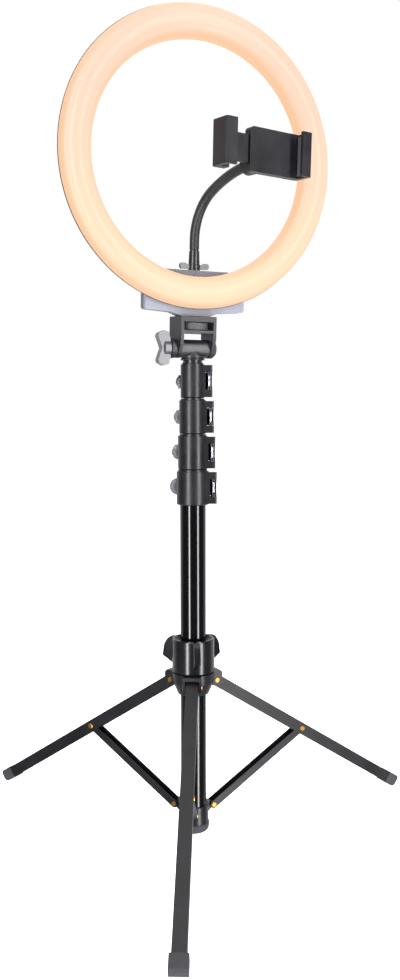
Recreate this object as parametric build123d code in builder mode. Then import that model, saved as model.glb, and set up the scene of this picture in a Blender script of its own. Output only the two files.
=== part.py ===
from build123d import *
import os
from math import acos, asin, atan2, cos, degrees, hypot, radians, sin

# Ring light on a telescopic floor tripod with a phone holder, in millimetres.
# +Z is up, the ring faces -Y, and the origin lies on the column axis at the floor.

os.makedirs("parts", exist_ok=True)

# ---- driving dimensions: telescopic column ----
TUBE_DIAMETERS = [23.5, 20.9, 18.3, 15.7, 13.1]
TUBE_WALL = 0.9
TUBE_BOTTOM = 2.5
BUSH_FIRST_Z = 22.0
BUSH_STEP = 11.0
BUSH_FLANGE = 2.0
BUSH_PLUG = 8.0
RUNNING_FIT = 0.06

# ---- driving dimensions: flip locks ----
LOCK_AZIMUTH = -24.0
COLLAR_WALL = 2.9
COLLAR_BASE_Z = 304.6
COLLAR_BODY = 30.2
COLLAR_WAIST = 1.4
COLLAR_PITCH = 32.0
EAR_REACH = 7.0
EAR_WIDTH = 10.6
WINDOW_LOW = 7.2
WINDOW_HIGH = 23.4
PIVOT_OFFSET = 4.2
PIN_RADIUS = 1.5
LEVER_GAP = 0.35

# ---- driving dimensions: tripod base ----
LEG_AZIMUTHS = [-116.4, 3.6, 123.6]
HUB_PIVOT = (20.5, 141.1)
KNEE = (117.4, 78.6)
BRACE_PIVOT = (19.4, 21.0)
LEG_WIDTH = 11.2
LEG_DEPTH = 10.7
SHEET = 1.0
BRACE_WIDTH = 8.5
BRACE_DEPTH = 7.0
BRACE_SHEET = 0.9
FOOT_WIDTH = 14.6
FOOT_DEPTH = 11.9
FOOT_LENGTH = 12.8
FOOT_ROUND = 4.5
RIVET_RADIUS = 1.5
RIVET_HEAD = 2.5
HUB_TOP = 150.2
KNOB_AZIMUTH = -106.1
KNOB_RADIUS = 19.4
KNOB_BOTTOM = 150.6
KNOB_TOP = 181.7
WING_REACH = 29.7
WING_THICKNESS = 5.5

# ---- driving dimensions: head ----
SPIGOT_BASE = COLLAR_BASE_Z + 3 * COLLAR_PITCH + COLLAR_BODY + COLLAR_WAIST + 0.4
FLANGE_BASE = SPIGOT_BASE + 1.6
FLANGE_TOP = FLANGE_BASE + 1.7
TILT_AXIS_Z = 444.6
HEAD_TILT = 2.9
BARREL_RADIUS = 8.0
YOKE_WIDTH = 34.0
YOKE_DEPTH = 27.0
CHEEK = 2.9
PLATFORM_TOP = 28.1
STUD_RADIUS = 3.1

# ---- driving dimensions: ring head (heights from the tilt axis, before the tilt) ----
RING_HEIGHT = 161.4
RING_OUTER = 127.0
RING_INNER = 98.5
RING_BACK = -5.4
SHELL_DEPTH = 4.0
DIFFUSER_DEPTH = 13.0
HOUSING_WIDTH = 95.0
HOUSING_LOW = 31.5
HOUSING_HIGH = 68.2

# ---- driving dimensions: phone holder ----
NECK_RADIUS = 4.3
NECK_LINKS = 3
NECK_SOCKET = 17.2
CUP_RADIUS = 4.2
CUP_GAP = 0.35
NECK_AZIMUTH = -73.8
NECK_RISE = 26.2
NECK_BENDS = [(46.0, 60.0), (115.0, 25.0)]
BALL_RADIUS = 5.0
HOLDER_TURN = 11.2
HOLDER_RAISE = 9.0
PHONE_HALF_WIDTH = 38.7
PHONE_BACK = -12.4
PHONE_FRONT = -21.4
JAW_HALF_HEIGHT = 17.6
JAW_WALL = 4.2
PAD = 1.2


def radial_plane(azimuth, offset=0.0):
    """Vertical plane through the column axis: x runs outward, y runs up."""
    turn = radians(azimuth)
    normal = Vector(sin(turn), -cos(turn), 0)
    return Plane(origin=normal * offset, x_dir=(cos(turn), sin(turn), 0), z_dir=normal)


def level_plane(height, azimuth=0.0):
    """Horizontal plane at a height, with its x axis turned to an azimuth."""
    turn = radians(azimuth)
    return Plane(origin=(0, 0, height), x_dir=(cos(turn), sin(turn), 0), z_dir=(0, 0, 1))


def linkage_plane(azimuth, start, end):
    """Plane with its origin at one pivot and its x axis along the link to the other."""
    turn = radians(azimuth)
    outward = Vector(cos(turn), sin(turn), 0)
    up = Vector(0, 0, 1)
    origin = outward * start[0] + up * start[1]
    along = outward * (end[0] - start[0]) + up * (end[1] - start[1])
    return Plane(origin=origin, x_dir=along.normalized(), z_dir=(sin(turn), -cos(turn), 0))


def write(piece, name):
    """Label a finished piece and write it as one STEP file."""
    piece.label = name
    export_step(piece, f"parts/{name}.step")


def tilted(piece):
    """Lean a head piece forward about the tilt axis, from its upright drawing."""
    return piece.rotate(Axis((0, 0, TILT_AXIS_Z), (1, 0, 0)), HEAD_TILT)


def ring_of(outer, inner, low, high):
    """Plain tube about the column axis."""
    with BuildPart() as tube:
        with BuildSketch(Plane.XY.offset(low)):
            Circle(outer)
            Circle(inner, mode=Mode.SUBTRACT)
        extrude(amount=high - low)
    return tube.part


# ------------------------------------------------------------------ telescopic column
def collar_bottom(level):
    return COLLAR_BASE_Z + COLLAR_PITCH * level


def make_tubes():
    """Five nested tubes, the thinner four each with a guide bush in the lower end."""
    for level, diameter in enumerate(TUBE_DIAMETERS):
        outer = diameter / 2
        inner = outer - TUBE_WALL
        if level == 0:
            write(ring_of(outer, inner, TUBE_BOTTOM, collar_bottom(0) + 20), "column_tube")
            continue
        bottom = BUSH_FIRST_Z + BUSH_STEP * (level - 1)
        top = collar_bottom(level) + 20
        if level == len(TUBE_DIAMETERS) - 1:
            top = SPIGOT_BASE
        write(ring_of(outer, inner, bottom, top), f"section_tube_{level + 1}")
        guide = TUBE_DIAMETERS[level - 1] / 2 - TUBE_WALL - RUNNING_FIT
        with BuildPart() as bush:
            with BuildSketch(Plane.XY.offset(bottom - BUSH_FLANGE)):
                Circle(guide)
            extrude(amount=BUSH_FLANGE)
            with BuildSketch(Plane.XY.offset(bottom)):
                Circle(inner)
            extrude(amount=BUSH_PLUG)
            with BuildSketch(Plane.XY.offset(bottom - BUSH_FLANGE)):
                Circle(inner - 1.6)
            extrude(amount=BUSH_FLANGE + BUSH_PLUG, mode=Mode.SUBTRACT)
        write(bush.part, f"section_bush_{level + 1}")


def make_collar(level):
    """Split clamp on the top of one tube, with two ears for the lever and a screw lug."""
    own = TUBE_DIAMETERS[level] / 2
    guided = TUBE_DIAMETERS[level + 1] / 2 + RUNNING_FIT
    outer = own + COLLAR_WALL
    base = collar_bottom(level)
    disc = tension_disc_radius(level)
    root = disc - outer + 7.7
    with BuildPart() as collar:
        with BuildSketch(Plane.XY.offset(base)):
            Circle(outer)
        extrude(amount=COLLAR_BODY)
        chamfer(collar.edges().filter_by(GeomType.CIRCLE).group_by(Axis.Z)[0], 0.8)
        fillet(collar.edges().filter_by(GeomType.CIRCLE).group_by(Axis.Z)[-1], 0.5)
        with BuildSketch(Plane.XY.offset(base + COLLAR_BODY)):
            Circle(outer - 1.3)
        extrude(amount=COLLAR_WAIST)
        # two ears in one block, parted by the lever window
        with BuildSketch(level_plane(base + 0.9, LOCK_AZIMUTH)):
            with Locations((outer + EAR_REACH / 2 - 3, 0)):
                RectangleRounded(EAR_REACH + 6, EAR_WIDTH, 1.6)
        extrude(amount=COLLAR_BODY - 1.8)
        with BuildSketch(level_plane(base + WINDOW_LOW, LOCK_AZIMUTH)):
            with Locations((outer + 8.8, 0)):
                Rectangle(16, 30)
        extrude(amount=WINDOW_HIGH - WINDOW_LOW, mode=Mode.SUBTRACT)
        with BuildSketch(level_plane(base, LOCK_AZIMUTH)):
            with Locations((outer + PIVOT_OFFSET, 0)):
                Circle(PIN_RADIUS)
        extrude(amount=COLLAR_BODY, mode=Mode.SUBTRACT)
        # lug for the tension screw, at the rear on the side away from the lever
        with BuildSketch(level_plane(base + COLLAR_BODY / 2 - 6, LOCK_AZIMUTH)):
            with Locations((root - (2 * disc + 4) / 2, outer + 5.2)):
                Rectangle(2 * disc + 4, 4)
            with Locations((root - 2.9, outer + 2.2)):
                Rectangle(5.8, 10)
        extrude(amount=12)
        with BuildSketch(screw_plane(level)):
            Circle(1.6)
        extrude(amount=-12, mode=Mode.SUBTRACT)
        # bores: the own tube is clamped, the next one slides
        with BuildSketch(Plane.XY.offset(base)):
            Circle(own)
        extrude(amount=20, mode=Mode.SUBTRACT)
        with BuildSketch(Plane.XY.offset(base)):
            Circle(guided)
        extrude(amount=COLLAR_BODY + COLLAR_WAIST, mode=Mode.SUBTRACT)
        # clamping slit under the lever
        with BuildSketch(level_plane(base, LOCK_AZIMUTH + 52)):
            with Locations((outer, 0)):
                Rectangle(2 * COLLAR_WALL + 4, 1.0)
        extrude(amount=COLLAR_BODY - 6, mode=Mode.SUBTRACT)
    return collar.part


def tension_disc_radius(level):
    return TUBE_DIAMETERS[level] / 4 + 2.1


def screw_plane(level):
    """Plane of the tension screw's face, square to the screw."""
    turn = radians(LOCK_AZIMUTH)
    side = Vector(cos(turn), sin(turn), 0)
    rear = Vector(-sin(turn), cos(turn), 0)
    outer = TUBE_DIAMETERS[level] / 2 + COLLAR_WALL
    height = collar_bottom(level) + COLLAR_BODY / 2
    centre = side * (-outer + 1.4) + rear * (outer + 3.2) + Vector(0, 0, height)
    return Plane(origin=centre, x_dir=side, z_dir=rear * -1)


def make_lever(level):
    """Flip lever: two knuckles on the pin, an outer web, and a band round the rear."""
    outer = TUBE_DIAMETERS[level] / 2 + COLLAR_WALL
    pivot = outer + PIVOT_OFFSET
    low = collar_bottom(level) + WINDOW_LOW + LEVER_GAP
    high = collar_bottom(level) + WINDOW_HIGH - LEVER_GAP
    inner_band = outer + 0.9
    outer_band = outer + 3.1
    start = asin((EAR_WIDTH / 2 + 0.3) / inner_band)
    root = tension_disc_radius(level) - outer + 7.7
    end = min(radians(76), acos((root + 0.5) / inner_band))
    with BuildPart() as lever:
        with BuildSketch(level_plane(low, LOCK_AZIMUTH)):
            with Locations((pivot, 0)):
                Circle(2.7)
            with Locations((pivot + 1.8, 2.2)):
                Rectangle(1.2, 8)
        extrude(amount=3)
        with BuildSketch(level_plane(high - 3, LOCK_AZIMUTH)):
            with Locations((pivot, 0)):
                Circle(2.7)
            with Locations((pivot + 1.8, 2.2)):
                Rectangle(1.2, 8)
        extrude(amount=3)
        with BuildSketch(level_plane(low, LOCK_AZIMUTH)):
            with Locations((pivot + 1.8, 2.2)):
                Rectangle(1.2, 8)
        extrude(amount=high - low)
        with BuildSketch(level_plane(low, LOCK_AZIMUTH)):
            with BuildLine():
                Polyline(
                    (outer_band * cos(start), outer_band * sin(start)),
                    (pivot + 2.4, 5.0),
                    (pivot + 2.4, 6.2),
                    (outer_band * cos(start) + 1.2, outer_band * sin(start) + 3.2),
                    (outer_band * cos(start + 0.2), outer_band * sin(start + 0.2)),
                    (inner_band * cos(start + 0.2), inner_band * sin(start + 0.2)),
                    (inner_band * cos(start), inner_band * sin(start)),
                    close=True,
                )
            make_face()
        extrude(amount=high - low)
        with BuildSketch(level_plane(low, LOCK_AZIMUTH)):
            with BuildLine():
                CenterArc((0, 0), outer_band, degrees(start), degrees(end - start))
                CenterArc((0, 0), inner_band, degrees(start), degrees(end - start))
                Line(
                    (inner_band * cos(start), inner_band * sin(start)),
                    (outer_band * cos(start), outer_band * sin(start)),
                )
                Line(
                    (inner_band * cos(end), inner_band * sin(end)),
                    (outer_band * cos(end), outer_band * sin(end)),
                )
            make_face()
        extrude(amount=high - low)
        with BuildSketch(level_plane(low - 1, LOCK_AZIMUTH)):
            with Locations((pivot, 0)):
                Circle(PIN_RADIUS + 0.05)
        extrude(amount=high - low + 2, mode=Mode.SUBTRACT)
    return lever.part


def make_lock_hardware(level):
    """Steel hinge pin of the lever, and the domed tension screw with its hex socket."""
    outer = TUBE_DIAMETERS[level] / 2 + COLLAR_WALL
    disc = tension_disc_radius(level)
    with BuildPart() as hardware:
        with BuildSketch(level_plane(collar_bottom(level) + 1.6, LOCK_AZIMUTH)):
            with Locations((outer + PIVOT_OFFSET, 0)):
                Circle(PIN_RADIUS)
        extrude(amount=COLLAR_BODY - 3.2)
        with BuildSketch(screw_plane(level)):
            Circle(disc)
        extrude(amount=1.8)
        with BuildSketch(screw_plane(level).offset(1.8)):
            Circle(disc)
        extrude(amount=1.2, taper=45)
        with BuildSketch(screw_plane(level)):
            Circle(1.6)
        extrude(amount=-5)
        with BuildSketch(screw_plane(level).offset(3.0)):
            RegularPolygon(2.6, 6)
        extrude(amount=-2.2, mode=Mode.SUBTRACT)
    return hardware.part


def make_locks():
    for level in range(4):
        write(make_collar(level), f"lock_collar_{level + 1}")
        write(make_lever(level), f"lock_lever_{level + 1}")
        write(make_lock_hardware(level), f"lock_hardware_{level + 1}")


# ------------------------------------------------------------------ tripod base
def make_end_cap():
    """Plastic foot plug over the lower end of the column."""
    with BuildPart() as cap:
        with BuildSketch(Plane.XY):
            Circle(14.45)
        extrude(amount=8.4)
        fillet(cap.edges().group_by(Axis.Z)[0], 4.4)
        fillet(cap.edges().group_by(Axis.Z)[-1], 0.6)
        with BuildSketch(Plane.XY.offset(TUBE_BOTTOM)):
            Circle(TUBE_DIAMETERS[0] / 2)
        extrude(amount=8, mode=Mode.SUBTRACT)
    write(cap.part, "column_end_cap")


def make_brace_collar():
    """Fixed lower collar with one upright tab for each brace."""
    with BuildPart() as collar:
        with BuildSketch(Plane.XY.offset(8.6)):
            Circle(13.7)
        extrude(amount=16.4)
        fillet(collar.edges().group_by(Axis.Z)[-1], 1.2)
        for azimuth in LEG_AZIMUTHS:
            with BuildSketch(radial_plane(azimuth)):
                with BuildLine():
                    Polyline(
                        (12.5, 13.4),
                        (16.7, 16.6),
                        (21.6, 20.6),
                        (19.6, 23.3),
                        (14.7, 25.6),
                        (12.5, 25.6),
                        close=True,
                    )
                make_face()
            extrude(amount=2.0, both=True)
        with BuildSketch(Plane.XY.offset(8)):
            Circle(TUBE_DIAMETERS[0] / 2)
        extrude(amount=20, mode=Mode.SUBTRACT)
    write(collar.part, "brace_collar")


def make_hub():
    """Sliding bracket: a conical sleeve with three clevises for the legs."""
    bore = TUBE_DIAMETERS[0] / 2 + RUNNING_FIT
    pivot_r, pivot_z = HUB_PIVOT
    cheek_in = LEG_WIDTH / 2 + 0.8
    cheek_out = cheek_in + 1.9
    with BuildPart() as hub:
        with BuildSketch(Plane.XZ):
            with BuildLine():
                Polyline(
                    (bore, 130.4),
                    (14.2, 130.4),
                    (18.9, 141.0),
                    (19.6, HUB_TOP),
                    (bore, HUB_TOP),
                    close=True,
                )
            make_face()
        revolve(axis=Axis.Z)
        for azimuth in LEG_AZIMUTHS:
            with BuildSketch(radial_plane(azimuth)):
                with BuildLine():
                    Polyline(
                        (15.5, HUB_TOP),
                        (pivot_r + 3.6, HUB_TOP),
                        (pivot_r + 5.6, HUB_TOP - 2.0),
                        (pivot_r + 5.6, pivot_z - 3.2),
                        (pivot_r + 4.2, pivot_z - 4.7),
                        (pivot_r - 4.0, pivot_z - 4.7),
                        (15.5, pivot_z - 2.0),
                        close=True,
                    )
                make_face()
            extrude(amount=cheek_out, both=True)
            with BuildSketch(radial_plane(azimuth)):
                with Locations((14.1 + 20, pivot_z - 13.6)):
                    Rectangle(40, 40)
            extrude(amount=cheek_in, both=True, mode=Mode.SUBTRACT)
            with BuildSketch(radial_plane(azimuth)):
                with Locations(HUB_PIVOT):
                    Circle(RIVET_RADIUS)
            extrude(amount=cheek_out + 1, both=True, mode=Mode.SUBTRACT)
        with BuildSketch(Plane.XY.offset(125)):
            Circle(bore)
        extrude(amount=30, mode=Mode.SUBTRACT)
    write(hub.part, "leg_hub")
    with BuildPart() as rivets:
        for azimuth in LEG_AZIMUTHS:
            with BuildSketch(radial_plane(azimuth)):
                with Locations(HUB_PIVOT):
                    Circle(RIVET_RADIUS)
            extrude(amount=cheek_out, both=True)
            for side in (-1, 1):
                with BuildSketch(radial_plane(azimuth, side * cheek_out)):
                    with Locations(HUB_PIVOT):
                        Circle(RIVET_HEAD)
                extrude(amount=side * 0.7, taper=30)
    write(rivets.part, "hub_rivets")


def make_hub_knob():
    """Twist knob with a bowl-shaped rim and three wings."""
    bore = TUBE_DIAMETERS[0] / 2 + RUNNING_FIT
    with BuildPart() as knob:
        with BuildSketch(Plane.XZ):
            with BuildLine():
                Polyline(
                    (bore, KNOB_BOTTOM),
                    (KNOB_RADIUS - 0.8, KNOB_BOTTOM),
                    (KNOB_RADIUS, KNOB_BOTTOM + 1.2),
                    (KNOB_RADIUS, KNOB_TOP - 1.0),
                    (KNOB_RADIUS - 0.7, KNOB_TOP),
                    (KNOB_RADIUS - 2.2, KNOB_TOP),
                    (KNOB_RADIUS - 3.4, KNOB_TOP - 2.2),
                    (bore + 0.9, KNOB_TOP - 6.0),
                    (bore, KNOB_TOP - 6.0),
                    close=True,
                )
            make_face()
        revolve(axis=Axis.Z)
        for wing in range(3):
            with BuildSketch(radial_plane(KNOB_AZIMUTH + 120 * wing)):
                with BuildLine():
                    rim = Line((KNOB_RADIUS - 1.8, KNOB_TOP), (KNOB_RADIUS + 2.6, KNOB_TOP))
                    shoulder = ThreePointArc(
                        rim @ 1,
                        (KNOB_RADIUS + 7.0, KNOB_TOP - 4.4),
                        (KNOB_RADIUS + 9.2, KNOB_TOP - 10.0),
                    )
                    Polyline(
                        shoulder @ 1,
                        (WING_REACH, KNOB_TOP - 18.2),
                        (KNOB_RADIUS - 1.8, KNOB_TOP - 26.0),
                        rim @ 0,
                    )
                make_face()
            extrude(amount=WING_THICKNESS / 2, both=True)
    write(knob.part, "hub_knob")


def leg_angle():
    """Angle of a leg from the vertical, in radians."""
    return atan2(KNEE[0] - HUB_PIVOT[0], HUB_PIVOT[1] - KNEE[1])


def leg_length():
    """Distance from the hub pivot to the end of the foot cap, which stands on the floor."""
    angle = leg_angle()
    drop = HUB_PIVOT[1] - FOOT_ROUND - (FOOT_DEPTH / 2 - FOOT_ROUND) * sin(angle)
    return drop / cos(angle) + FOOT_ROUND


def make_leg(azimuth):
    """Folded steel channel, open on its lower side, with holes for both rivets."""
    plane = linkage_plane(azimuth, HUB_PIVOT, KNEE)
    knee = hypot(KNEE[0] - HUB_PIVOT[0], KNEE[1] - HUB_PIVOT[1])
    end = leg_length() - 5.5
    half = LEG_DEPTH / 2
    with BuildPart() as leg:
        with BuildSketch(plane):
            with BuildLine():
                Polyline(
                    (0, -half),
                    (end, -half),
                    (end, half),
                    (-2.4, half),
                    (-half, half - 2.95),
                    (-half, -half + 2.95),
                    (-2.4, -half),
                    (0, -half),
                )
            make_face()
        extrude(amount=LEG_WIDTH / 2, both=True)
        with BuildSketch(plane):
            with Locations(((end - 10) / 2, -SHEET)):
                Rectangle(end + 40, LEG_DEPTH)
        extrude(amount=LEG_WIDTH / 2 - SHEET, both=True, mode=Mode.SUBTRACT)
        with BuildSketch(plane):
            Circle(RIVET_RADIUS + 0.05)
            with Locations((knee, 0)):
                Circle(RIVET_RADIUS + 0.05)
        extrude(amount=LEG_WIDTH, both=True, mode=Mode.SUBTRACT)
    return leg.part


def make_foot_cap(azimuth):
    """Rubber cap on the end of a leg, rounded at the heel where it stands."""
    plane = linkage_plane(azimuth, HUB_PIVOT, KNEE)
    end = leg_length()
    start = end - FOOT_LENGTH
    half = FOOT_DEPTH / 2
    with BuildPart() as cap:
        with BuildSketch(plane):
            with Locations(((start + end) / 2, 0)):
                Rectangle(FOOT_LENGTH, FOOT_DEPTH)
        extrude(amount=FOOT_WIDTH / 2, both=True)
        fillet(nearest_edge(cap, plane.from_local_coords((end, -half, 0))), FOOT_ROUND)
        fillet(nearest_edge(cap, plane.from_local_coords((end, half, 0))), 2.4)
        with BuildSketch(plane):
            with Locations(((start + end) / 2 - 5.5, 0)):
                Rectangle(FOOT_LENGTH, LEG_DEPTH)
        extrude(amount=LEG_WIDTH / 2, both=True, mode=Mode.SUBTRACT)
    return cap.part


def nearest_edge(builder, point):
    """Edge of a piece closest to a point."""
    return builder.edges().sort_by_distance(Vector(point))[0]


def make_brace(azimuth):
    """Smaller channel, open on its upper side, rounded at both ends."""
    plane = linkage_plane(azimuth, KNEE, BRACE_PIVOT)
    length = hypot(KNEE[0] - BRACE_PIVOT[0], KNEE[1] - BRACE_PIVOT[1])
    half = BRACE_DEPTH / 2
    with BuildPart() as brace:
        with BuildSketch(plane):
            with Locations((length / 2, 0)):
                SlotCenterToCenter(length, BRACE_DEPTH)
        extrude(amount=BRACE_WIDTH / 2, both=True)
        with BuildSketch(plane):
            with Locations((length / 2, -half - BRACE_SHEET)):
                Rectangle(length + 30, 2 * BRACE_DEPTH)
        extrude(amount=BRACE_WIDTH / 2 - BRACE_SHEET, both=True, mode=Mode.SUBTRACT)
        with BuildSketch(plane):
            with Locations((0, 0), (length, 0)):
                Circle(RIVET_RADIUS)
        extrude(amount=BRACE_WIDTH, both=True, mode=Mode.SUBTRACT)
    return brace.part


def make_brace_rivets(azimuth):
    """Knee rivet through leg and brace, and the two rivet halves at the lower collar."""
    plane = linkage_plane(azimuth, KNEE, BRACE_PIVOT)
    length = hypot(KNEE[0] - BRACE_PIVOT[0], KNEE[1] - BRACE_PIVOT[1])
    with BuildPart() as rivets:
        with BuildSketch(plane):
            Circle(RIVET_RADIUS)
        extrude(amount=LEG_WIDTH / 2 + 0.1, both=True)
        for side in (-1, 1):
            with BuildSketch(plane.offset(side * (LEG_WIDTH / 2 + 0.1))):
                Circle(RIVET_HEAD)
            extrude(amount=side * 0.7, taper=30)
            with BuildSketch(plane.offset(side * 2.5)):
                with Locations((length, 0)):
                    Circle(RIVET_RADIUS)
            extrude(amount=side * (BRACE_WIDTH / 2 - 2.5))
            with BuildSketch(plane.offset(side * BRACE_WIDTH / 2)):
                with Locations((length, 0)):
                    Circle(RIVET_HEAD)
            extrude(amount=side * 0.7, taper=30)
    return rivets.part


def make_legs():
    for number, azimuth in enumerate(LEG_AZIMUTHS, start=1):
        write(make_leg(azimuth), f"leg_{number}")
        write(make_foot_cap(azimuth), f"foot_cap_{number}")
        write(make_brace(azimuth), f"brace_{number}")
        write(make_brace_rivets(azimuth), f"brace_rivets_{number}")


# ------------------------------------------------------------------ head

def make_spigot():
    """Plug in the top tube with a flange and the stub that the head pans on."""
    with BuildPart() as spigot:
        with BuildSketch(Plane.XY.offset(SPIGOT_BASE - 40)):
            Circle(TUBE_DIAMETERS[4] / 2 - TUBE_WALL)
        extrude(amount=40)
        with BuildSketch(Plane.XY.offset(SPIGOT_BASE)):
            Circle(8.6)
        extrude(amount=FLANGE_BASE - SPIGOT_BASE)
        with BuildSketch(Plane.XY.offset(FLANGE_BASE)):
            Circle(10.9)
        extrude(amount=FLANGE_TOP - FLANGE_BASE)
        chamfer(spigot.edges().filter_by(GeomType.CIRCLE).sort_by(SortBy.RADIUS)[-2:], 0.5)
        with BuildSketch(Plane.XY.offset(FLANGE_TOP)):
            Circle(4.2)
        extrude(amount=4.0)
    write(spigot.part, "head_spigot")


def make_barrel():
    """Panning neck that widens into the cross barrel of the tilt joint."""
    reach = YOKE_WIDTH / 2 - CHEEK - 0.3
    base = FLANGE_TOP + 0.3
    with BuildPart() as barrel:
        with BuildSketch(Plane.XY.offset(base)):
            Circle(10.4)
        extrude(amount=1.6)
        with BuildSketch(Plane.XY.offset(base + 1.6)):
            Circle(9.4)
        with BuildSketch(Plane.XY.offset(TILT_AXIS_Z - 1)):
            Circle(6.6)
        loft()
        with BuildSketch(Plane.YZ.offset(-reach)):
            with Locations((0, TILT_AXIS_Z)):
                Circle(BARREL_RADIUS)
        extrude(amount=2 * reach)
        with BuildSketch(Plane.YZ.offset(-reach)):
            with Locations((0, TILT_AXIS_Z)):
                Circle(2.55)
        extrude(amount=2 * reach, mode=Mode.SUBTRACT)
        with BuildSketch(Plane.XY.offset(base)):
            Circle(4.26)
        extrude(amount=4.1, mode=Mode.SUBTRACT)
    write(barrel.part, "tilt_barrel")


def make_yoke():
    """Tilting bracket: platform, thumbwheel slot, cross bar and two cheeks."""
    half = YOKE_WIDTH / 2
    deep = YOKE_DEPTH / 2
    top = TILT_AXIS_Z + PLATFORM_TOP
    slot_low = TILT_AXIS_Z + 15.8
    with BuildPart() as yoke:
        with BuildSketch(Plane.YZ.offset(-half)):
            with BuildLine():
                Polyline(
                    (-deep, top),
                    (deep, top),
                    (deep, TILT_AXIS_Z + 9.5),
                    (8.6, TILT_AXIS_Z + 2),
                    (8.6, TILT_AXIS_Z - 4.4),
                    (4.2, TILT_AXIS_Z - 8.4),
                    (-4.2, TILT_AXIS_Z - 8.4),
                    (-8.6, TILT_AXIS_Z - 4.4),
                    (-deep + 1.2, TILT_AXIS_Z + 3.5),
                    (-deep, TILT_AXIS_Z + 9.0),
                    close=True,
                )
            make_face()
        extrude(amount=YOKE_WIDTH)
        fillet(yoke.edges().filter_by(Axis.X), 0.7)
        with BuildSketch(Plane.XZ.offset(deep + 1)):
            with Locations((0, TILT_AXIS_Z + (PLATFORM_TOP - 4.8 + 15.8) / 2)):
                Rectangle(YOKE_WIDTH - 2 * CHEEK, PLATFORM_TOP - 4.8 - 15.8)
            with Locations((0, TILT_AXIS_Z + 13.4 - 20)):
                Rectangle(YOKE_WIDTH - 2 * CHEEK, 40)
        extrude(amount=-YOKE_DEPTH - 2, mode=Mode.SUBTRACT)
        with BuildSketch(Plane.YZ.offset(-half - 5.2)):
            with Locations((0, TILT_AXIS_Z)):
                Circle(8.8)
        extrude(amount=2.6)
        with BuildSketch(Plane.YZ.offset(-half - 2.6)):
            with Locations((0, TILT_AXIS_Z)):
                Circle(8.1)
        extrude(amount=2.6)
        with BuildSketch(Plane.YZ.offset(half)):
            with Locations((0, TILT_AXIS_Z)):
                Circle(8.0)
        extrude(amount=2.0)
        with BuildSketch(Plane.YZ.offset(half + 2.0)):
            with Locations((0, TILT_AXIS_Z)):
                Circle(8.0)
        extrude(amount=1.8, taper=40)
        with BuildSketch(Plane.YZ.offset(-half - 6)):
            with Locations((0, TILT_AXIS_Z)):
                Circle(2.56)
        extrude(amount=YOKE_WIDTH + 6.5, mode=Mode.SUBTRACT)
        with BuildSketch(Plane.XY.offset(slot_low)):
            Circle(STUD_RADIUS + 0.3)
        extrude(amount=20, mode=Mode.SUBTRACT)
    write(tilted(yoke.part), "tilt_bracket")


def make_tilt_knob():
    """Clamping knob with two flared lobes, on the bolt that runs through the barrel."""
    face = -YOKE_WIDTH / 2 - 5.4
    with BuildPart() as knob:
        with BuildSketch(Plane.YZ.offset(face)):
            with Locations((0, TILT_AXIS_Z)):
                Circle(7.0)
        extrude(amount=-6.0)
        with BuildSketch(Plane.XZ):
            with BuildLine():
                Polyline(
                    (face, TILT_AXIS_Z - 6),
                    (face - 2.2, TILT_AXIS_Z - 14.2),
                    (face - 6.5, TILT_AXIS_Z - 15.4),
                    (face - 11.0, TILT_AXIS_Z - 13.2),
                    (face - 12.0, TILT_AXIS_Z - 10.4),
                    (face - 8.2, TILT_AXIS_Z),
                    (face - 12.0, TILT_AXIS_Z + 10.4),
                    (face - 11.0, TILT_AXIS_Z + 13.2),
                    (face - 6.5, TILT_AXIS_Z + 15.4),
                    (face - 2.2, TILT_AXIS_Z + 14.2),
                    (face, TILT_AXIS_Z + 6),
                    close=True,
                )
            make_face()
        extrude(amount=4.2, both=True)
        with BuildSketch(Plane.YZ.offset(face)):
            with Locations((0, TILT_AXIS_Z)):
                Circle(2.5)
        extrude(amount=YOKE_WIDTH + 5)
    write(knob.part, "tilt_knob")


def make_thumbwheel():
    """Knurled captive wheel with the stud that holds the ring head."""
    with BuildPart() as wheel:
        with BuildSketch(Plane.XY.offset(TILT_AXIS_Z + 16.6)):
            Circle(13.2)
            with PolarLocations(13.4, 40):
                Circle(0.55, mode=Mode.SUBTRACT)
        extrude(amount=5.9)
        with BuildSketch(Plane.XY.offset(TILT_AXIS_Z + 22.5)):
            Circle(STUD_RADIUS)
        extrude(amount=12.4)
    write(tilted(wheel.part), "thumbwheel")


# ------------------------------------------------------------------ ring head
def ring_plane(depth):
    """Plane of the ring, facing forward, at a depth in front of the tilt axis."""
    return Plane(origin=(0, depth, TILT_AXIS_Z + RING_HEIGHT), x_dir=(1, 0, 0), z_dir=(0, -1, 0))


def ring_section():
    """Plane through the ring's axis: x runs outward, y runs forward to the light."""
    return Plane(origin=(0, 0, TILT_AXIS_Z + RING_HEIGHT), x_dir=(1, 0, 0), z_dir=(0, 0, 1))


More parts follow.
